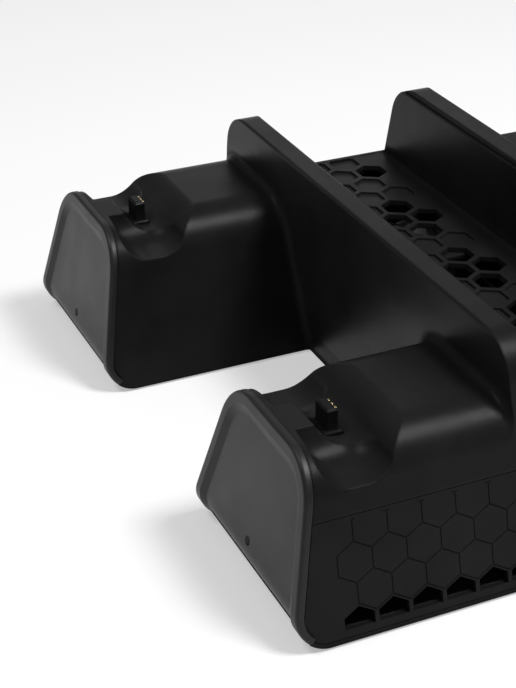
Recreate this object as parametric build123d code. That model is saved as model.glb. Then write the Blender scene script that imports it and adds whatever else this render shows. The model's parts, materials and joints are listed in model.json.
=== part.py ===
"""Charging dock for two game controllers, built into a cooling stand for an upright console.

Frame: millimetres, +Z up, origin on the table under the middle of the stand.
X runs along the walls, -Y points to the controller side, +Y to the sockets at the back.
"""
import os
from math import cos, hypot, radians, sin, sqrt, tan

from build123d import *

# Stand: walls, slot and ends
ARM_PITCH = 165.0         # between the two docks, so that two controllers fit side by side
ARM_BASE_WIDTH = 83.2     # one arm at table level
SIDE_DRAFT = 14.0         # degrees that arm sides and stand ends lean in
WALL_TOP = 79.2           # top of both walls above the table
WALL_CORNER = 16.0        # rounded upper corners of the walls
NEAR_WALL = 8.8           # thickness of the wall that carries the arms
FAR_WALL = 10.6           # thickness of the other wall
SLOT_WIDTH = 67.0         # console slot between the walls
FLOOR_TOP = 46.3          # slot floor above the table
TOP_STEP = 1.1            # small step along the inner top edge of the far wall
SKIN = 2.5                # moulded wall thickness
FOOT_STAND = 0.8          # how far the feet hold the stand off the table
BASE_FRONT_BACK = 6.0     # base front lies this far behind the near wall's face
BASE_FRONT_HEIGHT = 9.5   # upright strip at the foot of the base front
CREASE = 63.4             # height where the near wall's face turns upright
CREASE_BEND = 3.0         # half the height of that bend
TOP_EDGE = 0.9            # soft long edges on top of the walls
REAR_DEPTH = 15.0         # socket housing behind the far wall
REAR_TOP = 77.6
REAR_CORNER = 5.0

# Arms
ARM_REACH = 77.5          # near wall's face to the arm's foremost point
ARM_TOP = 60.2
ARM_SHOULDER = 15.5       # rounded upper edges of an arm
FRONT_LEAN = 10.8         # degrees that the arm fronts lean back
FRONT_CORNER = 11.0       # rounded lower front edge of an arm
JUNCTION_FILLET = 2.5     # soft corner between arm and wall

# Saddle on each arm, distances back from the arm's foremost point
LIP_TOP = 57.5
LIP_BACK = 20.5
VALLEY_TOP = 50.2
VALLEY_BACK = 29.5        # lowest line of the valley
SLOPE_BACK = 46.0
SLOPE_TURN = (0.5, 0.44)  # where the slope turns from hollow to crowned, along and up
POCKET_FLOOR = 47.8
POCKET_FRONT = 11.2       # at the arm's side
POCKET_NOTCH = 14.2       # pocket front beside the lip
POCKET_BACK = 38.0
POCKET_TURN = 11.0        # rounded rear corner beside the tongue
POCKET_FILLET = 10.0      # hollow between floor and walls
TONGUE_WIDTH = 14.6

# Front covers
COVER_THICK = 2.6
COVER_PROUD = 0.6         # rim stands out past the arm's sides
RIM_TOP = 58.3
RIM_CORNER = 17.5
RIM_EDGE = 1.2            # rounded outer edge of the rim
FOOT_WRAP = 50.0          # degrees that a cover follows the rounded foot, below the horizontal
RIM_WIDTH = 3.8
BEVEL_WIDTH = 3.2
BEVEL_DEPTH = 1.2
INDICATOR_DIAMETER = 2.6
INDICATOR_HEIGHT = 15.6
LENS_FLANGE = 2.3         # radius of the indicator's collar behind the cover
LENS_THICK = 0.8

# Side panels
PANEL_THICK = 1.6
PANEL_TOP = 39.8
PANEL_FOOT = 2.4
PANEL_FRONT = 3.2         # behind the arm's front plane
PANEL_REAR = 6.0          # in front of the stand's back
SIDE_PITCH = 11.7
SIDE_WEB = 1.4
SIDE_GROOVE = 0.5
SIDE_GROOVE_DEPTH = 0.2
VENT_FOOT = 4.7
VENT_CENTRE = 5.6
VENT_FIRST = 21.0         # first open cell behind the arm's foremost point
VENT_TOP = 11.2           # top of the window behind the open cells

# Honeycomb grille in the slot floor
GRILLE_THICK = 2.2
GRILLE_MARGIN = 2.0       # floor left plain at each end
GRILLE_PITCH = 13.6
GRILLE_WEB = 2.0
GRILLE_COLUMNS = 19
GRILLE_DIMPLE = 0.9       # depth of the closed cells
GRILLE_OFFSET = -2.9      # middle of the pattern, from the middle of the slot
LEDGE = 2.0               # floor left under the grille

# Fans
FAN_SIZE = 60.0
FAN_DEPTH = 15.0
FAN_BORE = 57.0
FAN_COLUMN = 4            # grille columns from the middle to a fan
HUB_DIAMETER = 28.0
HUB_HEIGHT = 10.0
HUB_SKIN = 1.4
BLADES = 7
BLADE_THICK = 1.2
BLADE_HEIGHT = 9.0
BLADE_PITCH = 38.0
TIP_GAP = 1.2
INTAKE_SLOT = 3.6
INTAKE_ROWS = 7.7         # row spaces over one fan's bore
SHAFT_DIAMETER = 3.0
SHAFT_CLEARANCE = 0.05    # radial running fit
TUBE_DIAMETER = 7.0
HUB_PLATE = 2.0

# Boards, plugs and sockets
BOARD = 1.6
PLUG_BACK = 28.4          # plug's middle behind the arm's foremost point
PLUG_WIDTH = 10.4         # collar
PLUG_DEPTH = 6.6
PLUG_COLLAR_TOP = 51.6
PLUG_TONGUE_WIDTH = 7.8
PLUG_TONGUE_DEPTH = 3.8
PLUG_TOP = 58.8
CONTACTS = 3
CONTACT_PITCH = 2.2
CONTACT_WIDTH = 1.2
CONTACT_THICK = 0.7
CONTACT_PROUD = 0.1
CONTACT_FOOT = 3.0        # strip's foot above the collar
CONTACT_HEAD = 0.2        # strip's head under the plug's top
DOCK_BOARD = (30.0, 14.0)
SOCKET_PITCH = 18.0       # between sockets and button in the back
BOARD_EDGE = 1.0          # board past the outer socket places
BOARD_SIDE = 2.5          # clearance beside the main board
MAIN_BOARD_DEPTH = 20.0
MAIN_BOARD_HEIGHT = 20.0
USB_SIZE = (13.1, 14.0, 5.7)
INLET_SIZE = (9.0, 7.4, 3.3)
BUTTON_SIZE = (9.0, 4.8)
BUTTON_TRAVEL = 1.0
BUTTON_PROUD = 1.2
BUTTON_LIFT = 1.6         # over the board

# Fasteners, feet and fits
SCREW_RECESS = 5.8        # diameter of the screw recesses under the base
SCREW_RECESS_DEPTH = 1.6
BOSS_DIAMETER = 7.0
SCREW_END = 20.0          # screws and feet, from the ends of the stand
SCREW_NEAR = 8.0          # front screws behind the near wall
SCREW_FAR = 12.0          # rear screws in front of the back
ARM_SCREW = 17.4          # behind the arm's foremost point
ARM_FOOT = 36.0
FOOT_DIAMETER = 14.0
FOOT_RECESS = 1.2
FOOT_NEAR = 10.0          # feet in front of the grille's middle
FOOT_FAR = 26.0           # feet in front of the back
SEAT_GAP = 0.25           # all round between inlaid pieces
PRESS_GAP = 0.05          # pushed-on pieces
MOVING_GAP = 0.3

# Places worked out from the sizes above
DEPTH = ARM_REACH + NEAR_WALL + SLOT_WIDTH + FAR_WALL + REAR_DEPTH + BUTTON_PROUD
FRONT_Y = -DEPTH / 2
WALL_Y = FRONT_Y + ARM_REACH
SLOT_NEAR = WALL_Y + NEAR_WALL
SLOT_FAR = SLOT_NEAR + SLOT_WIDTH
PATTERN_Y = (SLOT_NEAR + SLOT_FAR) / 2 + GRILLE_OFFSET
BACK_Y = SLOT_FAR + FAR_WALL
REAR_Y = BACK_Y + REAR_DEPTH
DRAFT = tan(radians(SIDE_DRAFT))
LEAN = tan(radians(FRONT_LEAN))
END_HALF = (ARM_PITCH + ARM_BASE_WIDTH) / 2
USB_PLACES = {"left": -1.5 * SOCKET_PITCH, "right": -0.5 * SOCKET_PITCH}
INLET_PLACE = 0.5 * SOCKET_PITCH
BUTTON_PLACE = 1.5 * SOCKET_PITCH
MAIN_BOARD_WIDTH = 4 * SOCKET_PITCH + 2 * BOARD_EDGE
REAR_WIDTH = MAIN_BOARD_WIDTH + 2 * (SKIN + BOARD_SIDE)
CORNER_TANGENT = FRONT_CORNER / tan(radians(90 - FRONT_LEAN) / 2)
CORNER_Y = FRONT_Y - CORNER_TANGENT + FRONT_CORNER
CORNER_MIDDLE = (CORNER_Y + CORNER_TANGENT, FOOT_STAND + FRONT_CORNER)
LEDGE_TOP = FLOOR_TOP - GRILLE_THICK
CEILING = LEDGE_TOP - LEDGE
PLATE_TOP = FOOT_STAND + SKIN
ARM_CEILING = POCKET_FLOOR - SKIN
COLUMN_STEP = GRILLE_PITCH * sqrt(3) / 2
FAN_X = FAN_COLUMN * COLUMN_STEP
FAR_AWAY = 300.0
ARMS = {"left": -ARM_PITCH / 2, "right": ARM_PITCH / 2}
PLUG_Y = FRONT_Y + PLUG_BACK
DOCK_BOARD_TOP = ARM_CEILING - 4.0
SIDE_SIGNS = {"left": -1, "right": 1}
CASE_SCREWS = [
    (sign * (END_HALF - SCREW_END), y)
    for sign in (-1, 1)
    for y in (SLOT_NEAR + SCREW_NEAR, BACK_Y - SCREW_FAR)
] + [(x, FRONT_Y + ARM_SCREW) for x in ARMS.values()]


def along_x(outline, low, high):
    """Solid from a Y-Z outline, between two X places."""
    return extrude(Plane.YZ.offset(low) * outline, high - low, dir=(1, 0, 0))


def along_y(outline, low, high):
    """Solid from an X-Z outline, between two Y places."""
    return extrude(Plane.XZ.offset(-low) * outline, high - low, dir=(0, 1, 0))


def outline_of(points):
    return Polygon(*points, align=None)


def block(x_range, y_range, z_range):
    size = [high - low for low, high in (x_range, y_range, z_range)]
    low = (x_range[0], y_range[0], z_range[0])
    return Pos(*low) * Box(*size, align=(Align.MIN, Align.MIN, Align.MIN))


def cylinder(x, y, low, high, diameter):
    post = Cylinder(diameter / 2, high - low, align=(Align.CENTER, Align.CENTER, Align.MIN))
    return Pos(x, y, low) * post


def arm_half(z, inset=0.0):
    """Half width of an arm at a height, measured square to its leaning side."""
    return ARM_BASE_WIDTH / 2 - z * DRAFT - inset / cos(radians(SIDE_DRAFT))


def front_plane_y(z):
    return CORNER_Y + (z - FOOT_STAND) * LEAN


def drafted_outline(half, top, corner, foot=FOOT_STAND):
    """X-Z trapezoid with leaning sides and rounded upper corners."""
    shape = outline_of([
        (-half(foot), foot), (half(foot), foot), (half(top), top), (-half(top), top),
    ])
    return fillet(shape.vertices().group_by(Axis.Y)[-1], corner)


def end_half(inset):
    return lambda z: ARM_PITCH / 2 + arm_half(z, inset)


def wall_section():
    """Y-Z section of the stand; the near wall's face is one smooth curve that bends at the crease."""
    slant = BASE_FRONT_BACK / (CREASE - BASE_FRONT_HEIGHT)
    leaning = [FOOT_STAND, 0.3 * CREASE, 0.6 * CREASE, 0.8 * CREASE, CREASE - CREASE_BEND]
    points = [(WALL_Y + (CREASE - z) * slant, z) for z in leaning]
    shoulder = WALL_TOP - TOP_EDGE
    points += [(WALL_Y, CREASE + CREASE_BEND), (WALL_Y, shoulder)]
    near_top = [(WALL_Y + TOP_EDGE, WALL_TOP), (SLOT_NEAR - TOP_EDGE, WALL_TOP)]
    far_top = [(SLOT_FAR + TOP_STEP + TOP_EDGE, WALL_TOP), (BACK_Y - TOP_EDGE, WALL_TOP)]
    step = (SLOT_FAR + TOP_STEP, shoulder)
    edges = [
        Spline(*points, tangents=[(-slant, 1), (0, 1)]),
        TangentArc(points[-1], near_top[0], tangent=(0, 1)),
        Line(*near_top),
        TangentArc(near_top[1], (SLOT_NEAR, shoulder), tangent=(1, 0)),
        Polyline((SLOT_NEAR, shoulder), (SLOT_NEAR, FLOOR_TOP), (SLOT_FAR, FLOOR_TOP),
                 (SLOT_FAR, shoulder - TOP_STEP), (SLOT_FAR + TOP_STEP, shoulder - TOP_STEP), step),
        TangentArc(step, far_top[0], tangent=(0, 1)),
        Line(*far_top),
        TangentArc(far_top[1], (BACK_Y, shoulder), tangent=(1, 0)),
        Polyline((BACK_Y, shoulder), (BACK_Y, FOOT_STAND), points[0]),
    ]
    return make_face(edges)


def hollow_section(inset):
    """The same section drawn in by the skin, under the ledge of the slot floor."""
    base_y = WALL_Y + BASE_FRONT_BACK + inset
    top = WALL_TOP - TOP_EDGE - TOP_STEP - inset
    return outline_of([
        (base_y, FOOT_STAND), (base_y, BASE_FRONT_HEIGHT), (WALL_Y + inset, CREASE), (WALL_Y + inset, top),
        (SLOT_NEAR - inset, top), (SLOT_NEAR - inset, CEILING), (SLOT_FAR + inset, CEILING),
        (SLOT_FAR + inset, top), (BACK_Y - inset, top), (BACK_Y - inset, FOOT_STAND),
    ])


def stand_ends(inset):
    """Everything between the leaning, rounded ends of the stand."""
    ends = drafted_outline(end_half(inset), WALL_TOP - inset, WALL_CORNER - inset)
    return along_y(ends, -FAR_AWAY, FAR_AWAY)


def stand_body():
    """Walls and both arms in one, with a soft corner where an arm meets its wall."""
    body = along_x(wall_section(), -FAR_AWAY, FAR_AWAY)
    for x in ARMS.values():
        body += arm_solid(x)
    corner = []
    for edge in body.edges():
        box = edge.bounding_box()
        on_wall = box.min.Y > WALL_Y - 1.0 and box.max.Y < WALL_Y + 2 * BASE_FRONT_BACK
        around_arm = box.size.Z > SKIN or abs(box.min.Z - ARM_TOP) < SEAT_GAP
        if on_wall and around_arm and box.max.Z < CREASE:
            corner.append(edge)
    body = fillet(corner, JUNCTION_FILLET) & stand_ends(0.0)
    strip_y = WALL_Y + BASE_FRONT_BACK
    strip_half = ARM_PITCH / 2 - arm_half(BASE_FRONT_HEIGHT)
    return body + block((-strip_half, strip_half), (strip_y, strip_y + SKIN), (FOOT_STAND, BASE_FRONT_HEIGHT))


def arm_side_outline():
    """Y-Z outline of an arm: rounded foot, leaning front, lip, valley, slope and flat top."""
    lip_end = (FRONT_Y + LIP_BACK, LIP_TOP)
    valley = (FRONT_Y + VALLEY_BACK, VALLEY_TOP)
    slope_top = (FRONT_Y + SLOPE_BACK, ARM_TOP)
    middle = tuple(low + part * (high - low) for low, high, part in zip(valley, slope_top, SLOPE_TURN))
    root = WALL_Y + BASE_FRONT_BACK + SKIN / 2
    drop = TangentArc(valley, lip_end, tangent=(-1, 0))
    rise = TangentArc(valley, middle, tangent=(1, 0))
    crest = TangentArc(middle, slope_top, tangent=rise % 1)
    skirt = Polyline(slope_top, (root, ARM_TOP), (root, FOOT_STAND), (CORNER_Y, FOOT_STAND),
                     (front_plane_y(LIP_TOP), LIP_TOP), lip_end)
    face = make_face([skirt, drop, rise, crest])
    foot = face.vertices().sort_by(Axis.X)[0]
    return fillet(foot, FRONT_CORNER)


def pocket_cutter(sign):
    """Scoop beside the tongue for a controller's grip, open to the arm's side."""
    inner = TONGUE_WIDTH / 2
    outer = ARM_BASE_WIDTH / 2
    front, notch, back = [FRONT_Y + place for place in (POCKET_FRONT, POCKET_NOTCH, POCKET_BACK)]
    plan = outline_of([(inner, notch), (outer, front), (outer, back), (inner, back)])
    corners = plan.vertices().group_by(Axis.X)[0].sort_by(Axis.Y)
    plan = fillet(corners[-1], POCKET_TURN)
    scoop = extrude(Pos(0, 0, POCKET_FLOOR) * plan, ARM_TOP, dir=(0, 0, 1))
    floor_edges = scoop.edges().group_by(Axis.Z)[0]
    rounded = [e for e in floor_edges if e.center().X < outer - 1.0]
    scoop = fillet(rounded, POCKET_FILLET)
    return scoop if sign > 0 else mirror(scoop, about=Plane.YZ)


def arm_solid(x):
    """Arm with rounded shoulders along its top and round its lower lip."""
    lip_end = FRONT_Y + LIP_BACK
    bar = along_y(drafted_outline(arm_half, LIP_TOP, ARM_SHOULDER), FRONT_Y - SKIN, lip_end)
    bar += along_y(drafted_outline(arm_half, ARM_TOP, ARM_SHOULDER), lip_end, WALL_Y + NEAR_WALL)
    arm = bar & along_x(arm_side_outline(), -ARM_BASE_WIDTH, ARM_BASE_WIDTH)
    for sign in (-1, 1):
        arm -= pocket_cutter(sign)
    return Pos(x, 0, 0) * arm


def arm_cavity(x, inset):
    """Hollow of an arm: low under the saddle, high behind it, open into the base."""
    low = drafted_outline(lambda z: arm_half(z, inset), ARM_CEILING, SKIN)
    high = drafted_outline(lambda z: arm_half(z, inset), ARM_TOP - SKIN, ARM_SHOULDER - SKIN)
    back = WALL_Y + BASE_FRONT_BACK + 2 * SKIN
    foot_back = CORNER_MIDDLE[0] + inset
    cover_foot = tangent_height(0.0) + inset
    side = outline_of([
        (foot_back, FOOT_STAND), (back, FOOT_STAND), (back, ARM_TOP),
        (front_plane_y(ARM_TOP), ARM_TOP), (front_plane_y(cover_foot), cover_foot),
    ])
    front_half = along_y(low, FRONT_Y, back) & along_x(side, -FAR_AWAY, FAR_AWAY)
    rear_half = along_y(high, FRONT_Y + SLOPE_BACK + SKIN, back)
    return Pos(x, 0, 0) * (front_half + rear_half)


def rear_housing(inset, low_y):
    """Block of the socket housing, drawn in by inset at the sides, top and back."""
    half = REAR_WIDTH / 2 - inset
    top = REAR_TOP - inset
    shape = block((-half, half), (low_y, REAR_Y - inset), (FOOT_STAND, top))
    upright = shape.edges().filter_by(Axis.Z).group_by(Axis.Y)[-1]
    return fillet(upright, REAR_CORNER - inset)


def cavity(inset):
    space = along_x(hollow_section(inset), -FAR_AWAY, FAR_AWAY) & stand_ends(inset)
    space += rear_housing(inset, SLOT_FAR + inset)
    for x in ARMS.values():
        space += arm_cavity(x, inset)
    return space


def side_outline(grow):
    """Y-Z outline of a side panel, or of its seat when grown by the seat gap."""
    front = PANEL_FRONT - grow
    foot = PANEL_FOOT - grow
    top = PANEL_TOP + grow
    rear = BACK_Y - PANEL_REAR + grow
    shape = outline_of([
        (front_plane_y(foot) + front, foot), (rear, foot), (rear, top), (front_plane_y(top) + front, top),
    ])
    corner = shape.vertices().sort_by(Axis.X)[0]
    return fillet(corner, FRONT_CORNER - PANEL_FRONT + grow)


def end_plane(sign, depth=0.0):
    """Plane of a stand end, local X along Y and local Y up the leaning face."""
    lean = radians(SIDE_DRAFT)
    origin = (sign * end_half(depth)(0.0), 0, 0)
    return Plane(origin=origin, x_dir=(0, sign, 0), z_dir=(sign * cos(lean), 0, sin(lean)))


def end_slab(sign, depth_low, depth_high):
    """Slab that follows a stand end between two depths below its surface."""
    slab = Box(FAR_AWAY * 2, FAR_AWAY * 2, depth_high - depth_low,
               align=(Align.CENTER, Align.CENTER, Align.MAX))
    return end_plane(sign, depth_low).location * slab


def screw_boss(x, y):
    roof = CEILING if y > WALL_Y else ARM_CEILING
    return cylinder(x, y, PLATE_TOP, roof + SKIN / 2, BOSS_DIAMETER)


def socket_windows():
    """Openings in the back wall for sockets and button."""
    base = MAIN_BOARD_HEIGHT + BOARD
    windows = []
    for x in USB_PLACES.values():
        windows.append((x, base + USB_SIZE[2] / 2, USB_SIZE[0], USB_SIZE[2]))
    windows.append((INLET_PLACE, base + INLET_SIZE[2] / 2, INLET_SIZE[0], INLET_SIZE[2]))
    return windows


def button_height():
    return MAIN_BOARD_HEIGHT + BOARD + BUTTON_SIZE[1] / 2 + BUTTON_LIFT


def upper_shell():
    shell = stand_body() - cavity(SKIN)
    for x, y in CASE_SCREWS:
        shell += screw_boss(x, y)
    shell -= grille_seat()
    for sign in SIDE_SIGNS.values():
        seat = along_x(side_outline(SEAT_GAP), -FAR_AWAY, FAR_AWAY)
        shell -= seat & end_slab(sign, 0.0, PANEL_THICK) & end_side(sign)
        shell -= vent_window() & end_slab(sign, 0.0, 2 * SKIN) & end_side(sign)
    for x in ARMS.values():
        shell -= Pos(x, 0, 0) * cover_envelope(COVER_THICK + SEAT_GAP)
        shell -= Pos(x, 0, 0) * indicator_disc(0.0, COVER_THICK + SKIN, LENS_FLANGE + SEAT_GAP)
        shell -= plug_slot(x)
        shell += dock_bosses(x)
    return shell


def rear_cover():
    """Socket housing: a cup with windows, closed by the base cover below and the shell in front."""
    cup = rear_housing(0.0, BACK_Y) - rear_housing(SKIN, BACK_Y - SKIN)
    for x, z, width, height in socket_windows():
        cup -= window_cutter(x, z, width + 2 * SEAT_GAP, height + 2 * SEAT_GAP)
    return cup - button_outline(MOVING_GAP, BACK_Y + SKIN, REAR_Y + SKIN)


def vent_window():
    """Long window in the shell behind the open cells of a side panel."""
    low = FRONT_Y + VENT_FIRST - SIDE_PITCH / 2
    high = BACK_Y - PANEL_REAR - SIDE_PITCH / 2
    return block((-FAR_AWAY, FAR_AWAY), (low, high), (VENT_FOOT, VENT_TOP))


def end_side(sign):
    return block((0, FAR_AWAY) if sign > 0 else (-FAR_AWAY, 0), (-FAR_AWAY, FAR_AWAY), (-FAR_AWAY, FAR_AWAY))


def window_cutter(x, z, width, height):
    return block((x - width / 2, x + width / 2), (REAR_Y - 2 * SKIN, REAR_Y + SKIN),
                 (z - height / 2, z + height / 2))


def button_outline(grow, low, high):
    length = BUTTON_SIZE[0] + 2 * grow
    height = BUTTON_SIZE[1] + 2 * grow
    shape = Pos(BUTTON_PLACE, button_height()) * SlotOverall(length, height)
    return along_y(shape, low, high)


def plug_slot(x):
    half_x = PLUG_WIDTH / 2 + SEAT_GAP
    half_y = PLUG_DEPTH / 2 + SEAT_GAP
    return block((x - half_x, x + half_x), (PLUG_Y - half_y, PLUG_Y + half_y),
                 (ARM_CEILING - SKIN, ARM_TOP + SKIN))


def dock_screw_places(x):
    return [(x + s * (DOCK_BOARD[0] / 2 - 4.0), PLUG_Y) for s in (-1, 1)]


def dock_bosses(x):
    posts = [cylinder(px, py, DOCK_BOARD_TOP, ARM_CEILING + SKIN / 2, 5.6)
             for px, py in dock_screw_places(x)]
    return posts[0] + posts[1]


def grille_length(gap):
    return 2 * (end_half(0.0)(FLOOR_TOP) - GRILLE_MARGIN) - 2 * gap


def grille_seat():
    """Recess for the grille plate and the windows under it."""
    half = grille_length(0.0) / 2
    seat = block((-half, half), (SLOT_NEAR, SLOT_FAR), (LEDGE_TOP, FLOOR_TOP + SKIN))
    rows = GRILLE_PITCH * 2
    for sign in (-1, 1):
        seat += cylinder(sign * FAN_X, PATTERN_Y, CEILING - SKIN, LEDGE_TOP, FAN_BORE)
        end_x = sign * COLUMN_STEP * 8
        seat += block((end_x - 7.0, end_x + 7.0), (PATTERN_Y - rows, PATTERN_Y + rows),
                      (CEILING - SKIN, LEDGE_TOP))
    middle = FAN_X - FAN_SIZE / 2 - SKIN
    seat += block((-middle, middle), (PATTERN_Y - rows, PATTERN_Y + rows), (CEILING - SKIN, LEDGE_TOP))
    return seat


def hexagon(across, rotation):
    return RegularPolygon(across / 2, 6, major_radius=False, rotation=rotation)


def grille_cells():
    """Open and closed cells as (x, y) lists; open groups repeat every fourth column."""
    opened = []
    closed = []
    middle_column = GRILLE_COLUMNS // 2
    for column in range(GRILLE_COLUMNS):
        offset = abs(column - middle_column)
        rows = (-1.5, -0.5, 0.5, 1.5) if column % 2 == 1 else (-1, 0, 1)
        for row in rows:
            place = ((column - middle_column) * COLUMN_STEP, PATTERN_Y + row * GRILLE_PITCH)
            in_group = offset in (0, 4) or offset in (1, 3, 5) and row != 0
            at_end = offset == 8 and abs(row) == 1.5
            (opened if in_group or at_end else closed).append(place)
    return opened, closed


def vent_grille():
    half = grille_length(SEAT_GAP) / 2
    plate = block((-half, half), (SLOT_NEAR + SEAT_GAP, SLOT_FAR - SEAT_GAP), (LEDGE_TOP, FLOOR_TOP))
    opened, closed = grille_cells()
    cell = hexagon(GRILLE_PITCH - GRILLE_WEB, 0)
    through = [Pos(x, y, LEDGE_TOP - 1.0) * cell for x, y in opened]
    blind = [Pos(x, y, FLOOR_TOP - GRILLE_DIMPLE) * cell for x, y in closed]
    plate -= [extrude(face, GRILLE_THICK + 2.0) for face in through]
    plate -= [extrude(face, GRILLE_DIMPLE + 1.0) for face in blind]
    return plate


def cover_plane(depth=0.0):
    """Leaning plane of an arm's front, local Y up the slope, origin at table level."""
    lean = radians(FRONT_LEAN)
    y = CORNER_Y - FOOT_STAND * LEAN + depth / cos(lean)
    return Plane(origin=(0, y, 0), x_dir=(1, 0, 0), z_dir=(0, -cos(lean), sin(lean)))


def tangent_height(depth):
    """Height where the rounded foot runs into the leaning front, at a depth under the skin."""
    return CORNER_MIDDLE[1] + (FRONT_CORNER - depth) * sin(radians(FRONT_LEAN))


def foot_point(angle, depth):
    """Y-Z point on the rounded foot, at an angle below the horizontal."""
    radius = FRONT_CORNER - depth
    y, z = CORNER_MIDDLE
    return y - radius * cos(radians(angle)), z - radius * sin(radians(angle))


def cover_band(low, high):
    """Bar along X between two depths under an arm's skin, round the foot and up the leaning front."""
    rise = RIM_TOP + 2 * SKIN - tangent_height(0.0)
    half_way = (FOOT_WRAP - FRONT_LEAN) / 2
    sides = []
    for depth in (low, high):
        tangent = foot_point(-FRONT_LEAN, depth)
        top = (tangent[0] + rise * LEAN, tangent[1] + rise)
        sides.append([foot_point(FOOT_WRAP, depth), foot_point(half_way, depth), tangent, top])
    outer, inner = sides
    edges = [
        ThreePointArc(*outer[:3]),
        Polyline(outer[2], outer[3], inner[3], inner[2]),
        ThreePointArc(*inner[2::-1]),
        Line(inner[0], outer[0]),
    ]
    return along_x(make_face(edges), -ARM_BASE_WIDTH, ARM_BASE_WIDTH)


def cover_envelope(thick):
    """A front cover without its sunk panel, or its seat."""
    outline = drafted_outline(lambda z: arm_half(z, -COVER_PROUD), RIM_TOP, RIM_CORNER)
    return cover_band(0.0, thick) & along_y(outline, FRONT_Y - SKIN, FRONT_Y + LIP_BACK + 2 * SKIN)


def skin_depth(place):
    """Depth of a point under the arm's rounded foot and leaning front."""
    if place.Z > tangent_height(0.0):
        return (place.Y - front_plane_y(place.Z)) * cos(radians(FRONT_LEAN))
    return FRONT_CORNER - hypot(place.Y - CORNER_MIDDLE[0], place.Z - CORNER_MIDDLE[1])


def rim_edges(cover):
    """Outer edges of a cover's rim: up both sides, round the corners and over the top."""
    chosen = []
    for edge in cover.edges():
        place = edge.center()
        across = edge.bounding_box().size.Z < SEAT_GAP and place.Z < RIM_TOP - SKIN
        if skin_depth(place) < PRESS_GAP and not across:
            chosen.append(edge)
    return chosen


def panel_half(z, inset):
    return arm_half(z) + COVER_PROUD - inset


def panel_outline(inset, depth):
    """Outline of the sunk panel on the leaning front, drawn in by inset, from the rounded foot up."""
    slope = cos(radians(FRONT_LEAN))
    foot = tangent_height(depth)
    top = RIM_TOP - inset
    shape = outline_of([
        (-panel_half(foot, inset), foot / slope), (panel_half(foot, inset), foot / slope),
        (panel_half(top, inset), top / slope), (-panel_half(top, inset), top / slope),
    ])
    shape = fillet(shape.vertices().group_by(Axis.Y)[-1], RIM_CORNER - inset)
    return cover_plane(depth) * shape


def foot_recess():
    """The sunk panel where it follows the rounded foot."""
    lean = radians(FRONT_LEAN)
    section_plane = Plane(origin=(0, *CORNER_MIDDLE), x_dir=(1, 0, 0), z_dir=(0, -sin(lean), -cos(lean)))
    mouth = panel_half(tangent_height(0.0), RIM_WIDTH)
    panel = panel_half(tangent_height(BEVEL_DEPTH), RIM_WIDTH + BEVEL_WIDTH)
    skin, deep = FRONT_CORNER, FRONT_CORNER - BEVEL_DEPTH
    section = outline_of([
        (-panel, deep), (panel, deep),
        (mouth, skin), (mouth, skin + SKIN), (-mouth, skin + SKIN), (-mouth, skin),
    ])
    axis = Axis((0, *CORNER_MIDDLE), (1, 0, 0))
    return revolve(section_plane * section, axis, FOOT_WRAP + FRONT_LEAN + SIDE_DRAFT)


def front_cover(x):
    """End cover with a proud rim, a shallow bevel and a sunk panel that runs out round the foot."""
    cover = cover_envelope(COVER_THICK)
    cover = fillet(rim_edges(cover), RIM_EDGE)
    cover -= loft([panel_outline(RIM_WIDTH, 0.0), panel_outline(RIM_WIDTH + BEVEL_WIDTH, BEVEL_DEPTH)])
    cover -= foot_recess()
    cover -= indicator_disc(0.0, COVER_THICK, INDICATOR_DIAMETER / 2 + SEAT_GAP)
    return Pos(x, 0, 0) * cover


def indicator_disc(low, high, radius):
    """Disc under the leaning front between two depths, where the indicator sits."""
    height = INDICATOR_HEIGHT / cos(radians(FRONT_LEAN))
    return extrude(cover_plane(low) * (Pos(0, height) * Circle(radius)), low - high)


def indicator(x):
    lens = indicator_disc(BEVEL_DEPTH, COVER_THICK, INDICATOR_DIAMETER / 2)
    lens += indicator_disc(COVER_THICK, COVER_THICK + LENS_THICK, LENS_FLANGE)
    return Pos(x, 0, 0) * lens


def side_panel(sign):
    """End panel with a grooved honeycomb and a row of open cells along its foot."""
    panel = along_x(side_outline(0.0), -FAR_AWAY, FAR_AWAY)
    panel = panel & end_slab(sign, 0.0, PANEL_THICK) & end_side(sign)
    panel -= Pos(sign * ARM_PITCH / 2, 0, 0) * cover_band(-SKIN, COVER_THICK + SEAT_GAP)
    slope = cos(radians(SIDE_DRAFT))
    row_step = SIDE_PITCH * sqrt(3) / 2
    vent_y = VENT_CENTRE / slope
    length = BACK_Y - PANEL_REAR - FRONT_Y - VENT_FIRST
    count = int(length / SIDE_PITCH - 0.7) + 1
    plane = end_plane(sign)
    vent = hexagon(SIDE_PITCH - SIDE_WEB, 30)
    above_foot = Pos(0, VENT_FOOT / slope + SIDE_PITCH) * Rectangle(SIDE_PITCH, 2 * SIDE_PITCH)
    below_top = Pos(0, PANEL_TOP / slope - 1.0 - FAR_AWAY / 2) * Rectangle(2 * FAR_AWAY, FAR_AWAY)
    grooves = Sketch()
    pads = []
    for row in (0, 1, 2, 3):
        for n in range(count - row % 2):
            along = sign * (FRONT_Y + VENT_FIRST + (n + 0.5 * (row % 2)) * SIDE_PITCH)
            place = Pos(along, vent_y + row * row_step)
            if row == 0:
                cell = place * vent & Pos(along, 0) * above_foot
                panel -= extrude(plane * cell, 2 * PANEL_THICK, both=True)
            else:
                grooves += place * hexagon(SIDE_PITCH + SIDE_GROOVE, 30)
                pads.append(place * hexagon(SIDE_PITCH - SIDE_GROOVE, 30))
    grooves = (grooves - pads) & below_top
    panel -= extrude(plane * grooves, -SIDE_GROOVE_DEPTH)
    return panel


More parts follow.
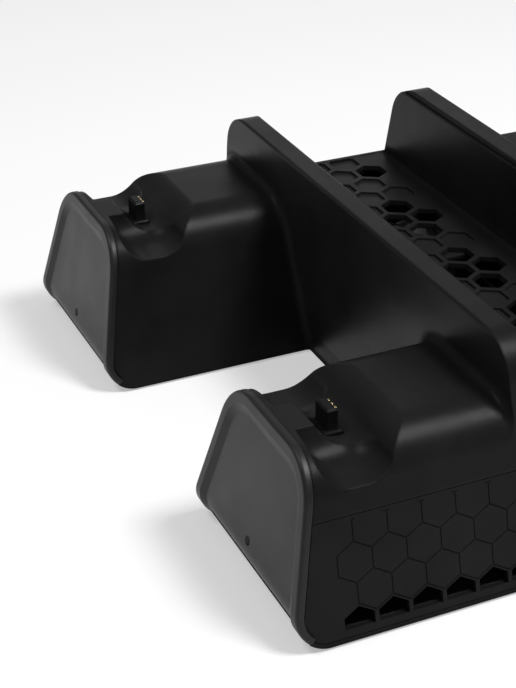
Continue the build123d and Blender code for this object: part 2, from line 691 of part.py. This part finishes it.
def base_cover():
    """Bottom plate inside the shell's skirt, with intake slots and seats for feet and screws."""
    everywhere = (-FAR_AWAY, FAR_AWAY)
    plate = cavity(SKIN + SEAT_GAP) & block(everywhere, everywhere, (FOOT_STAND, PLATE_TOP))
    for x, y in CASE_SCREWS:
        plate -= cylinder(x, y, 0, FOOT_STAND + SCREW_RECESS_DEPTH, SCREW_RECESS)
    for x, y in foot_places():
        plate -= cylinder(x, y, 0, FOOT_STAND + FOOT_RECESS, FOOT_DIAMETER + 2 * SEAT_GAP)
    for sign in (-1, 1):
        for n in range(-3, 4):
            slot = Rectangle(FAN_BORE * sqrt(1 - (n / 4) ** 2), INTAKE_SLOT)
            place = Pos(sign * FAN_X, PATTERN_Y + n * FAN_BORE / INTAKE_ROWS, 0)
            plate -= extrude(place * slot, PLATE_TOP + 1.0)
    return plate


def foot_places():
    return [(x, FRONT_Y + ARM_FOOT) for x in ARMS.values()] + [
        (sign * (END_HALF - SCREW_END), y)
        for sign in (-1, 1)
        for y in (PATTERN_Y - FOOT_NEAR, BACK_Y - FOOT_FAR)
    ]


def rubber_feet():
    pads = []
    for x, y in foot_places():
        pads.append(cylinder(x, y, 0, FOOT_STAND + FOOT_RECESS, FOOT_DIAMETER))
    return Compound(children=pads)


def fan_frame(x):
    low = CEILING - FAN_DEPTH
    frame = Pos(0, 0, low) * extrude(RectangleRounded(FAN_SIZE, FAN_SIZE, 4.0), FAN_DEPTH)
    frame -= cylinder(0, 0, low, CEILING, FAN_BORE)
    frame += cylinder(0, 0, low, low + HUB_PLATE, HUB_DIAMETER - 2.0)
    strut = block((HUB_DIAMETER / 2 - 3.0, FAN_BORE / 2 + 0.6), (-1.5, 1.5), (low, low + HUB_PLATE))
    for n in range(4):
        frame += Rot(0, 0, 45 + 90 * n) * strut
    frame += cylinder(0, 0, low + HUB_PLATE, tube_top(), TUBE_DIAMETER)
    frame -= cylinder(0, 0, low + HUB_PLATE / 2, tube_top(), SHAFT_DIAMETER + 2 * SHAFT_CLEARANCE)
    return Pos(x, PATTERN_Y, 0) * frame


def hub_top():
    return CEILING - 1.0


def tube_top():
    return hub_top() - HUB_SKIN - 1.2


def fan_motor(x):
    """Coil pack: a ring on the bearing tube with four poles."""
    low = CEILING - FAN_DEPTH + HUB_PLATE + 0.8
    high = tube_top() - 0.8
    ring = cylinder(0, 0, low, high, 12.0)
    outer = HUB_DIAMETER / 2 - HUB_SKIN - 1.2
    shoe = cylinder(0, 0, low + 1.2, high - 1.2, 2 * outer) - cylinder(0, 0, low, high, 2 * outer - 3.0)
    for n in range(4):
        arm = block((4.0, outer - 1.0), (-1.6, 1.6), (low + 1.2, high - 1.2))
        wedge = block((outer - 5.0, outer + 1.0), (-4.6, 4.6), (low, high))
        ring += Rot(0, 0, 90 * n) * (arm + (shoe & wedge))
    ring -= cylinder(0, 0, low, high, TUBE_DIAMETER + 2 * PRESS_GAP)
    seat = cylinder(0, 0, CEILING - FAN_DEPTH + HUB_PLATE, low, 10.0)
    ring += seat - cylinder(0, 0, CEILING - FAN_DEPTH, low, TUBE_DIAMETER + 2 * PRESS_GAP)
    return Pos(x, PATTERN_Y, 0) * ring


def blade():
    """One pitched fan blade, from inside the hub's skin to past the tip circle."""
    root = HUB_DIAMETER / 2 - HUB_SKIN
    tip = FAN_BORE / 2
    middle = hub_top() - HUB_HEIGHT / 2
    chord = BLADE_HEIGHT / sin(radians(BLADE_PITCH))
    return Pos((root + tip) / 2, 0, middle) * Rot(BLADE_PITCH, 0, 0) * Box(tip - root, chord, BLADE_THICK)


def fan_rotor(x):
    """Hub cup, blades and shaft, turning in the frame's bearing tube."""
    top = hub_top()
    low = top - HUB_HEIGHT
    rotor = cylinder(0, 0, low, top, HUB_DIAMETER)
    rotor = chamfer(rotor.edges().group_by(Axis.Z)[-1], 1.0)
    rotor -= cylinder(0, 0, low, top - HUB_SKIN, HUB_DIAMETER - 2 * HUB_SKIN)
    wing = blade() & cylinder(0, 0, low, top, FAN_BORE - 2 * TIP_GAP)
    wing -= cylinder(0, 0, low, top, HUB_DIAMETER - HUB_SKIN)
    for n in range(BLADES):
        rotor += Rot(0, 0, 360 / BLADES * n) * wing
    shaft_low = CEILING - FAN_DEPTH + HUB_PLATE / 2 + MOVING_GAP
    rotor += cylinder(0, 0, shaft_low, top - HUB_SKIN / 2, SHAFT_DIAMETER)
    return Pos(x, PATTERN_Y, 0) * rotor


def charging_plug(x):
    low = DOCK_BOARD_TOP
    plug = block((-PLUG_WIDTH / 2, PLUG_WIDTH / 2), (-PLUG_DEPTH / 2, PLUG_DEPTH / 2), (low, PLUG_COLLAR_TOP))
    plug = chamfer(plug.edges().group_by(Axis.Z)[-1], 0.5)
    tongue = block((-PLUG_TONGUE_WIDTH / 2, PLUG_TONGUE_WIDTH / 2),
                   (-PLUG_TONGUE_DEPTH / 2, PLUG_TONGUE_DEPTH / 2), (low + 1.0, PLUG_TOP))
    tongue = chamfer(tongue.edges().group_by(Axis.Z)[-1], 0.6)
    plug += tongue
    plug -= contact_bodies(0.0, PRESS_GAP)
    return Pos(x, PLUG_Y, 0) * plug


def contact_bodies(x, grow):
    """Contact strips let into the plug's back, up to its top edge."""
    first = -CONTACT_PITCH * (CONTACTS - 1) / 2
    half = CONTACT_WIDTH / 2 + grow
    strips = []
    for n in range(CONTACTS):
        middle = first + n * CONTACT_PITCH
        back = PLUG_TONGUE_DEPTH / 2 + CONTACT_PROUD
        strip = block((middle - half, middle + half), (back - CONTACT_THICK - grow, back),
                      (PLUG_COLLAR_TOP + CONTACT_FOOT - grow, PLUG_TOP - CONTACT_HEAD + grow))
        strips.append(strip)
    return Pos(x, 0, 0) * Compound(children=strips)


def plug_contacts(x):
    return Pos(0, PLUG_Y, 0) * contact_bodies(x, 0.0)


def dock_board(x):
    width, depth = DOCK_BOARD
    board = block((-width / 2, width / 2), (-depth / 2, depth / 2), (DOCK_BOARD_TOP - BOARD, DOCK_BOARD_TOP))
    board = Pos(x, PLUG_Y, 0) * board
    under = DOCK_BOARD_TOP - BOARD
    chip = Pos(x, PLUG_Y, 0) * block((-3.0, 3.0), (0.8, 5.8), (under - 1.2, under))
    return board + chip


def main_board_screws():
    y = REAR_Y - SKIN - MAIN_BOARD_DEPTH + 2.6
    return [(s * (MAIN_BOARD_WIDTH / 2 - 4.0), y) for s in (-1, 1)]


def board_posts():
    """Posts on the base cover that carry the main board."""
    posts = []
    for px, py in main_board_screws():
        posts.append(cylinder(px, py, PLATE_TOP - 0.5, MAIN_BOARD_HEIGHT, BOSS_DIAMETER))
    return posts


def main_board():
    high_y = REAR_Y - SKIN - SEAT_GAP
    board = block((-MAIN_BOARD_WIDTH / 2, MAIN_BOARD_WIDTH / 2), (high_y - MAIN_BOARD_DEPTH, high_y),
                  (MAIN_BOARD_HEIGHT, MAIN_BOARD_HEIGHT + BOARD))
    upright = board.edges().filter_by(Axis.Z).group_by(Axis.Y)[-1]
    return fillet(upright, REAR_CORNER - SKIN)


def usb_socket(x):
    """Charging port: bent metal shell with a contact tongue inside."""
    width, depth, height = USB_SIZE
    base = MAIN_BOARD_HEIGHT + BOARD
    mouth = REAR_Y - 0.3
    shell = block((-width / 2, width / 2), (mouth - depth, mouth), (base, base + height))
    shell = fillet(shell.edges().filter_by(Axis.Y), 0.5)
    sheet = 0.35
    shell -= block((-width / 2 + sheet, width / 2 - sheet), (mouth - depth + 2.0, mouth),
                   (base + sheet, base + height - sheet))
    tongue_top = base + height - 0.9
    shell += block((-5.6, 5.6), (mouth - depth + 1.0, mouth - 1.2), (tongue_top - 2.0, tongue_top))
    return Pos(x, 0, 0) * shell


def power_inlet():
    width, depth, height = INLET_SIZE
    base = MAIN_BOARD_HEIGHT + BOARD
    mouth = REAR_Y - 0.3
    outer = Pos(0, base + height / 2) * RectangleRounded(width, height, height / 2 - 0.05)
    inner = Pos(0, base + height / 2) * RectangleRounded(width - 0.7, height - 0.7, height / 2 - 0.4)
    shell = along_y(outer, mouth - depth, mouth) - along_y(inner, mouth - depth + 1.2, mouth)
    tongue = Pos(0, base + height / 2) * Rectangle(6.6, 0.8)
    shell += along_y(tongue, mouth - depth + 0.6, mouth - 0.8)
    return Pos(INLET_PLACE, 0, 0) * shell


def fan_button():
    """Push button with a flange behind the back wall and a stem towards its switch."""
    inner_face = REAR_Y - SKIN - MOVING_GAP
    cap = button_outline(0.0, inner_face - 1.4, REAR_Y + BUTTON_PROUD)
    cap = chamfer(cap.edges().group_by(Axis.Y)[-1], 0.5)
    length = BUTTON_SIZE[0] + 2.4
    flange = Pos(BUTTON_PLACE, button_height()) * SlotOverall(length, BUTTON_SIZE[1] + 1.6)
    cap += along_y(flange, inner_face - 1.4, inner_face)
    stem = Pos(BUTTON_PLACE, button_height()) * Circle(1.2)
    return cap + along_y(stem, switch_face() + BUTTON_TRAVEL + MOVING_GAP, inner_face - 0.4)


def switch_face():
    return REAR_Y - SKIN - 6.0


def button_switch():
    base = MAIN_BOARD_HEIGHT + BOARD
    top = button_height() + 2.6
    back = switch_face() - 0.8
    body = block((BUTTON_PLACE - 3.2, BUTTON_PLACE + 3.2), (back - 3.6, back), (base, top))
    plunger = Pos(BUTTON_PLACE, button_height()) * Circle(1.6)
    return body + along_y(plunger, switch_face() - 1.0, switch_face())


def save(name, shape):
    export_step(shape, f"parts/{name}.step")


def main():
    os.makedirs("parts", exist_ok=True)
    save("upper_shell", upper_shell())
    cover = base_cover()
    for post in board_posts():
        cover += post
    save("base_cover", cover)
    save("rear_cover", rear_cover())
    save("vent_grille", vent_grille())
    for name, x in ARMS.items():
        save(f"front_cover_{name}", front_cover(x))
        save(f"indicator_{name}", indicator(x))
        save(f"charging_plug_{name}", charging_plug(x))
        save(f"plug_contacts_{name}", plug_contacts(x))
        save(f"dock_board_{name}", dock_board(x))
    for name, sign in SIDE_SIGNS.items():
        save(f"side_panel_{name}", side_panel(sign))
        save(f"fan_frame_{name}", fan_frame(sign * FAN_X))
        save(f"fan_motor_{name}", fan_motor(sign * FAN_X))
        save(f"fan_rotor_{name}", fan_rotor(sign * FAN_X))
    for name, x in USB_PLACES.items():
        save(f"usb_socket_{name}", usb_socket(x))
    save("power_inlet", power_inlet())
    save("main_board", main_board())
    save("fan_button", fan_button())
    save("button_switch", button_switch())
    save("rubber_feet", rubber_feet())


main()
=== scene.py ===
"""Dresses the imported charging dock: materials, small fasteners, floor, light and camera."""
import json
from math import cos, pi, radians, sin

import bmesh
import bpy
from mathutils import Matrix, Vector


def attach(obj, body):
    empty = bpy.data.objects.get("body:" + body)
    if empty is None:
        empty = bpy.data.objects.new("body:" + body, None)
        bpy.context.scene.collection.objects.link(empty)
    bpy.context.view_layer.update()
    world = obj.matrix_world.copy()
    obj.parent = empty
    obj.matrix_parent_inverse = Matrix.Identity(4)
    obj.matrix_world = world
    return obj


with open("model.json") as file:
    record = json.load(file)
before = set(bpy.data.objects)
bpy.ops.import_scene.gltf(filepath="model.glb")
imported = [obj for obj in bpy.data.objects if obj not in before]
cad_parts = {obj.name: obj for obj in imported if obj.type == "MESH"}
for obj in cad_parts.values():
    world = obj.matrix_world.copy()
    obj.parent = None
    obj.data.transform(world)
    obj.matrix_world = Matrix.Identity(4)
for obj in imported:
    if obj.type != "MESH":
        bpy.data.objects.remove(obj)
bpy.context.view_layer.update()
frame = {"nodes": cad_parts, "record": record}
nodes = frame["nodes"]
scene = bpy.context.scene

# Camera fitted to the photograph, in metres, degrees, pixels and millimetres of sensor
CAMERA_PLACE = Vector((0.4620, -0.25625, 0.3212))
CAMERA_AZIMUTH = 65.68
CAMERA_ELEVATION = 29.54
FOCAL_PIXELS = 1635.5
FRAME_HEIGHT = 688
SENSOR = 36.0
CLIP_NEAR = 0.01
CLIP_FAR = 50.0

# Fine round on moulded edges, in metres
EDGE_ROUND = 0.0006
FINE_EDGE = 0.00012
SHELL_EDGE = 0.0012
EDGE_SAMPLES = 4

# Dull finish in tight hollow corners: reach in metres, and the open share of a closed and of an open corner
CORNER_REACH = 0.006
CORNER_ROUGHNESS = 1.0
CORNER_SAMPLES = 8
CORNER_CLOSED = 0.72
CORNER_OPEN = 0.92

# Noise: cells per metre, detail, and the stretches of its values that are used
CLOUD_SCALE = 38.0
GLOSS_SCALE = 90.0
GRAIN_DETAIL = 2.0
GRAIN_ROUGHNESS = 0.5
NOISE_LOW = 0.3
NOISE_HIGH = 0.7
BLEND_LOW = 0.35
BLEND_HIGH = 0.65

# Grain of the metals: height in metres, and how much finer it is than the streaks
METAL_GRAIN = 0.00001
METAL_FINER = 6

# Shine of the plastics, as the shader's specular level
DULL = 0.03
MATTE = 0.08
SATIN = 0.2
GLOSS = 0.26

# Blue of a near-black grey, as a share of its red
COOL_TINT = 1.03


def node_tree(name):
    """New material with only a Principled shader and its output."""
    material = bpy.data.materials.new(name)
    material.use_nodes = True
    tree = material.node_tree
    return material, tree, tree.nodes["Principled BSDF"]


def noise(tree, scale, detail=3.0, rough=0.55):
    """Noise in object space, in cells per metre."""
    place = tree.nodes.new("ShaderNodeTexCoord")
    texture = tree.nodes.new("ShaderNodeTexNoise")
    texture.inputs["Scale"].default_value = scale
    texture.inputs["Detail"].default_value = detail
    texture.inputs["Roughness"].default_value = rough
    tree.links.new(place.outputs["Object"], texture.inputs["Vector"])
    return texture.outputs["Fac"]


def remap(tree, value, low, high, start=NOISE_LOW, end=NOISE_HIGH):
    """Value that goes from low to high while the given one goes from start to end."""
    node = tree.nodes.new("ShaderNodeMapRange")
    node.inputs["From Min"].default_value = start
    node.inputs["From Max"].default_value = end
    node.inputs["To Min"].default_value = low
    node.inputs["To Max"].default_value = high
    tree.links.new(value, node.inputs["Value"])
    return node.outputs["Result"]


def blend_colours(tree, value, low, high):
    """Colour that goes from low to high with the given value."""
    ramp = tree.nodes.new("ShaderNodeValToRGB")
    ramp.color_ramp.elements[0].position = BLEND_LOW
    ramp.color_ramp.elements[1].position = BLEND_HIGH
    ramp.color_ramp.elements[0].color = (*low, 1)
    ramp.color_ramp.elements[1].color = (*high, 1)
    tree.links.new(value, ramp.inputs["Fac"])
    return ramp.outputs["Color"]


def bump(tree, value, height, edge_round):
    """Grain of a given height over edges that are softened by a fine round."""
    edge = tree.nodes.new("ShaderNodeBevel")
    edge.samples = EDGE_SAMPLES
    edge.inputs["Radius"].default_value = edge_round
    node = tree.nodes.new("ShaderNodeBump")
    node.inputs["Distance"].default_value = height
    tree.links.new(value, node.inputs["Height"])
    tree.links.new(edge.outputs["Normal"], node.inputs["Normal"])
    return node.outputs["Normal"]


def dull_corners(tree, rough):
    """Roughness that rises in tight hollow corners, where the moulding tool isn't polished."""
    hollow = tree.nodes.new("ShaderNodeAmbientOcclusion")
    hollow.samples = CORNER_SAMPLES
    hollow.inputs["Distance"].default_value = CORNER_REACH
    dull = remap(tree, hollow.outputs["AO"], CORNER_ROUGHNESS, 0.0, CORNER_CLOSED, CORNER_OPEN)
    larger = tree.nodes.new("ShaderNodeMath")
    larger.operation = "MAXIMUM"
    tree.links.new(dull, larger.inputs[0])
    tree.links.new(rough, larger.inputs[1])
    return larger.outputs[0]


def moulded(name, dark, light, rough, grain_scale, grain_height, shine, edge_round):
    """Moulded plastic: fine grain, cloudy gloss and a slight change of shade."""
    material, tree, shader = node_tree(name)
    shader.inputs["Specular IOR Level"].default_value = shine
    cloud = noise(tree, CLOUD_SCALE)
    tree.links.new(blend_colours(tree, cloud, dark, light), shader.inputs["Base Color"])
    gloss = remap(tree, noise(tree, GLOSS_SCALE), *rough)
    tree.links.new(dull_corners(tree, gloss), shader.inputs["Roughness"])
    grain = noise(tree, grain_scale, GRAIN_DETAIL, GRAIN_ROUGHNESS)
    tree.links.new(bump(tree, grain, grain_height, edge_round), shader.inputs["Normal"])
    return material


def metal(name, dark, light, rough, streak_scale):
    """Bare metal: cloudy streaks in colour and gloss, and a fine grain."""
    material, tree, shader = node_tree(name)
    shader.inputs["Metallic"].default_value = 1.0
    streaks = noise(tree, streak_scale)
    tree.links.new(blend_colours(tree, streaks, dark, light), shader.inputs["Base Color"])
    tree.links.new(remap(tree, streaks, *rough), shader.inputs["Roughness"])
    grain = noise(tree, streak_scale * METAL_FINER)
    tree.links.new(bump(tree, grain, METAL_GRAIN, FINE_EDGE), shader.inputs["Normal"])
    return material


def grey(value):
    return (value, value, value * COOL_TINT)


# Plastics by slot: name, dark and light colour, roughness range, grain per metre, grain height, shine, edge
PLASTICS = {
    "black_shell": (
        "shell_plastic", grey(0.009), grey(0.013), (0.27, 0.35), 5200.0, 0.00004, MATTE, SHELL_EDGE,
    ),
    "black_panel": (
        "panel_plastic", grey(0.010), grey(0.014), (0.36, 0.46), 5200.0, 0.00004, MATTE, FINE_EDGE,
    ),
    "grille_black": (
        "grille_plastic", grey(0.011), grey(0.015), (0.32, 0.42), 5200.0, 0.00003, MATTE, EDGE_ROUND,
    ),
    "cover_black": (
        "cover_plastic", grey(0.012), grey(0.016), (0.36, 0.42), 6000.0, 0.00001, GLOSS, EDGE_ROUND,
    ),
    "plug_black": (
        "plug_plastic", grey(0.005), grey(0.008), (0.30, 0.40), 6000.0, 0.00002, MATTE, EDGE_ROUND,
    ),
    "lens": (
        "lens_plastic", (0.010, 0.006, 0.006), (0.016, 0.010, 0.010), (0.08, 0.14), 2000.0, 0.000005,
        DULL, EDGE_ROUND,
    ),
    "rubber": (
        "foot_rubber", grey(0.016), grey(0.024), (0.75, 0.9), 2600.0, 0.00008, SATIN, EDGE_ROUND,
    ),
    "fan_black": (
        "fan_plastic", grey(0.016), grey(0.024), (0.34, 0.46), 4000.0, 0.00003, SATIN, EDGE_ROUND,
    ),
    "board": (
        "board_mask", (0.010, 0.055, 0.025), (0.016, 0.080, 0.036), (0.25, 0.38), 1800.0, 0.00002,
        GLOSS, EDGE_ROUND,
    ),
    "button_black": (
        "button_plastic", grey(0.012), grey(0.017), (0.32, 0.42), 6000.0, 0.00003, SATIN, EDGE_ROUND,
    ),
    "switch_black": (
        "switch_plastic", grey(0.014), grey(0.020), (0.4, 0.5), 4000.0, 0.00003, SATIN, EDGE_ROUND,
    ),
}

# Metals by slot: name, dark and light colour, roughness range, streaks per metre
METALS = {
    "contact_metal": ("contact_gold", (0.72, 0.55, 0.28), (0.85, 0.70, 0.42), (0.18, 0.30), 900.0),
    "coil": ("coil_copper", (0.55, 0.24, 0.10), (0.75, 0.38, 0.18), (0.25, 0.4), 1500.0),
    "socket_metal": ("socket_steel", (0.50, 0.50, 0.52), (0.66, 0.66, 0.68), (0.24, 0.36), 700.0),
}

finishes = {slot: moulded(*values) for slot, values in PLASTICS.items()}
finishes.update({slot: metal(*values) for slot, values in METALS.items()})
for entry in frame["record"]["subparts"]:
    mesh = nodes[entry["node"]].data
    mesh.materials.clear()
    mesh.materials.append(finishes[entry["material_slot"]])

# Case screws in the recesses under the base, in metres, with shares of the head's and the cross's size
SIDE_SCREW_X = 0.1041
SIDE_SCREW_ROWS = (0.00425, 0.06185)
ARM_SCREW_X = 0.0825
ARM_SCREW_Y = -0.07265
SCREW_PLACES = [(side * SIDE_SCREW_X, y) for side in (-1, 1) for y in SIDE_SCREW_ROWS]
SCREW_PLACES += [(side * ARM_SCREW_X, ARM_SCREW_Y) for side in (-1, 1)]
RECESS_ROOF = 0.0024
HEAD_RADIUS = 0.0026
HEAD_HEIGHT = 0.0011
HEAD_STEPS = 40
FACE_SHARE = 0.55
CROWN_SHARE = 0.7
CROWN_STEPS = 8
CROSS_LENGTH = 0.0028
CROSS_WIDTH = 0.0007
CROSS_DEPTH = 0.0008
CROSS_OUTER = 1.1
CROSS_INNER = 0.6

# Turn from one screw's cross to the next, in degrees
SCREW_TURN = 23


def lathe(profile, steps):
    """Closed mesh turned round the Z axis from (radius, height) points, both ends on the axis."""
    shape = bmesh.new()
    tip = shape.verts.new((0, 0, profile[0][1]))
    end = shape.verts.new((0, 0, profile[-1][1]))
    angles = [2 * pi * n / steps for n in range(steps)]
    rings = []
    for radius, height in profile[1:-1]:
        rings.append([shape.verts.new((radius * cos(a), radius * sin(a), height)) for a in angles])
    for n in range(steps):
        after = (n + 1) % steps
        shape.faces.new((tip, rings[0][after], rings[0][n]))
        shape.faces.new((end, rings[-1][n], rings[-1][after]))
        for upper, lower in zip(rings, rings[1:]):
            shape.faces.new((upper[n], upper[after], lower[after], lower[n]))
    bmesh.ops.recalc_face_normals(shape, faces=shape.faces)
    return shape


def cross_cutter():
    """Tapered cross that is driven into the screw's head."""
    half = CROSS_WIDTH / 2
    arm = CROSS_LENGTH / 2
    quarter = [(half, half), (half, arm), (-half, arm)]
    outline = []
    for turn in range(4):
        angle = turn * pi / 2
        outline += [(x * cos(angle) - y * sin(angle), x * sin(angle) + y * cos(angle)) for x, y in quarter]
    shape = bmesh.new()
    wide = [shape.verts.new((x * CROSS_OUTER, y * CROSS_OUTER, -CROSS_DEPTH)) for x, y in outline]
    deep = [shape.verts.new((x * CROSS_INNER, y * CROSS_INNER, CROSS_DEPTH)) for x, y in outline]
    shape.faces.new(wide)
    shape.faces.new(deep[::-1])
    for n in range(len(outline)):
        after = (n + 1) % len(outline)
        shape.faces.new((wide[n], deep[n], deep[after], wide[after]))
    bmesh.ops.recalc_face_normals(shape, faces=shape.faces)
    return shape


def mesh_object(name, shape):
    """Object in the scene with the mesh of a finished shape."""
    mesh = bpy.data.meshes.new(name)
    shape.to_mesh(mesh)
    shape.free()
    piece = bpy.data.objects.new(name, mesh)
    scene.collection.objects.link(piece)
    return piece


def screw_mesh():
    """Pan head with a cross recess, face down, its face at height zero."""
    profile = [(0, 0)]
    for n in range(1, CROWN_STEPS + 1):
        angle = n / CROWN_STEPS * pi / 2
        radius = HEAD_RADIUS * (FACE_SHARE + (1 - FACE_SHARE) * sin(angle))
        profile.append((radius, HEAD_HEIGHT * CROWN_SHARE * (1 - cos(angle))))
    profile += [(HEAD_RADIUS, HEAD_HEIGHT), (0, HEAD_HEIGHT)]
    head = mesh_object("screw_head", lathe(profile, HEAD_STEPS))
    cutter = mesh_object("screw_cross", cross_cutter())
    cut = head.modifiers.new("cross", "BOOLEAN")
    cut.operation = "DIFFERENCE"
    cut.object = cutter
    view = bpy.context.evaluated_depsgraph_get()
    mesh = bpy.data.meshes.new_from_object(head.evaluated_get(view))
    bpy.data.objects.remove(head)
    bpy.data.objects.remove(cutter)
    mesh.materials.clear()
    mesh.materials.append(finishes["socket_metal"])
    return mesh


screw = screw_mesh()
for number, (x, y) in enumerate(SCREW_PLACES):
    piece = bpy.data.objects.new(f"case_screw_{number + 1}", screw)
    scene.collection.objects.link(piece)
    piece.location = (x, y, RECESS_ROOF - HEAD_HEIGHT)
    piece.rotation_euler = (0, 0, radians(SCREW_TURN * number))
    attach(piece, "stand")

# Floor in metres, with the glow that the camera and reflections see on it, and the room's light
FLOOR_SIZE = 14.0
FLOOR_GREY = 0.6
FLOOR_ROUGHNESS = 0.9
FLOOR_GLOW = 0.40
ROOM_LIGHT = 0.23
WHITE = (1, 1, 1, 1)

# Softboxes: name, place, aim, size in metres, watts
SOFTBOXES = [
    ("top_light", (0.41, 0.41, 1.09), (0.0, -0.02, 0.05), (0.32, 0.32), 11.5),
    ("front_light", (-0.12, -0.62, 1.08), (0.0, -0.02, 0.05), (0.3, 0.3), 3.6),
    ("back_left_light", (-1.3, 0.46, 0.46), (0.0, 0.0, 0.05), (0.8, 0.5), 0.65),
]


def floor_material():
    """Matte grey that a glow lifts to white for the camera and in reflections, so that shadows stay."""
    material, tree, shader = node_tree("floor_white")
    shader.inputs["Base Color"].default_value = (FLOOR_GREY, FLOOR_GREY, FLOOR_GREY, 1)
    shader.inputs["Roughness"].default_value = FLOOR_ROUGHNESS
    shader.inputs["Specular IOR Level"].default_value = 0.0
    shader.inputs["Emission Color"].default_value = WHITE
    path = tree.nodes.new("ShaderNodeLightPath")
    seen = tree.nodes.new("ShaderNodeMath")
    seen.operation = "MAXIMUM"
    tree.links.new(path.outputs["Is Camera Ray"], seen.inputs[0])
    tree.links.new(path.outputs["Is Glossy Ray"], seen.inputs[1])
    glow = tree.nodes.new("ShaderNodeMath")
    glow.operation = "MULTIPLY"
    glow.inputs[1].default_value = FLOOR_GLOW
    tree.links.new(seen.outputs[0], glow.inputs[0])
    tree.links.new(glow.outputs[0], shader.inputs["Emission Strength"])
    return material


def softbox(name, place, aim, size, power):
    """Rectangular area light that points at its aim."""
    data = bpy.data.lights.new(name, "AREA")
    data.shape = "RECTANGLE"
    data.size, data.size_y = size
    data.energy = power
    lamp = bpy.data.objects.new(name, data)
    scene.collection.objects.link(lamp)
    lamp.location = place
    lamp.rotation_euler = (Vector(aim) - Vector(place)).to_track_quat("-Z", "Y").to_euler()


bpy.ops.mesh.primitive_plane_add(size=FLOOR_SIZE, location=(0, 0, 0))
floor = bpy.context.object
floor.name = "floor"
floor.data.materials.append(floor_material())

world = bpy.data.worlds.new("room")
scene.world = world
world.use_nodes = True
room = world.node_tree.nodes["Background"]
room.inputs["Color"].default_value = WHITE
room.inputs["Strength"].default_value = ROOM_LIGHT

for values in SOFTBOXES:
    softbox(*values)

# Camera at the photograph's viewing angle
camera_data = bpy.data.cameras.new("photo_camera")
camera = bpy.data.objects.new("photo_camera", camera_data)
scene.collection.objects.link(camera)
azimuth = radians(CAMERA_AZIMUTH)
elevation = radians(CAMERA_ELEVATION)
looking = Vector((-sin(azimuth) * cos(elevation), cos(azimuth) * cos(elevation), -sin(elevation)))
camera.location = CAMERA_PLACE
camera.rotation_mode = "QUATERNION"
camera.rotation_quaternion = looking.to_track_quat("-Z", "Y")
camera_data.sensor_width = SENSOR
camera_data.lens = FOCAL_PIXELS * SENSOR / FRAME_HEIGHT
camera_data.clip_start = CLIP_NEAR
camera_data.clip_end = CLIP_FAR
scene.camera = camera

scene.view_settings.view_transform = "Standard"
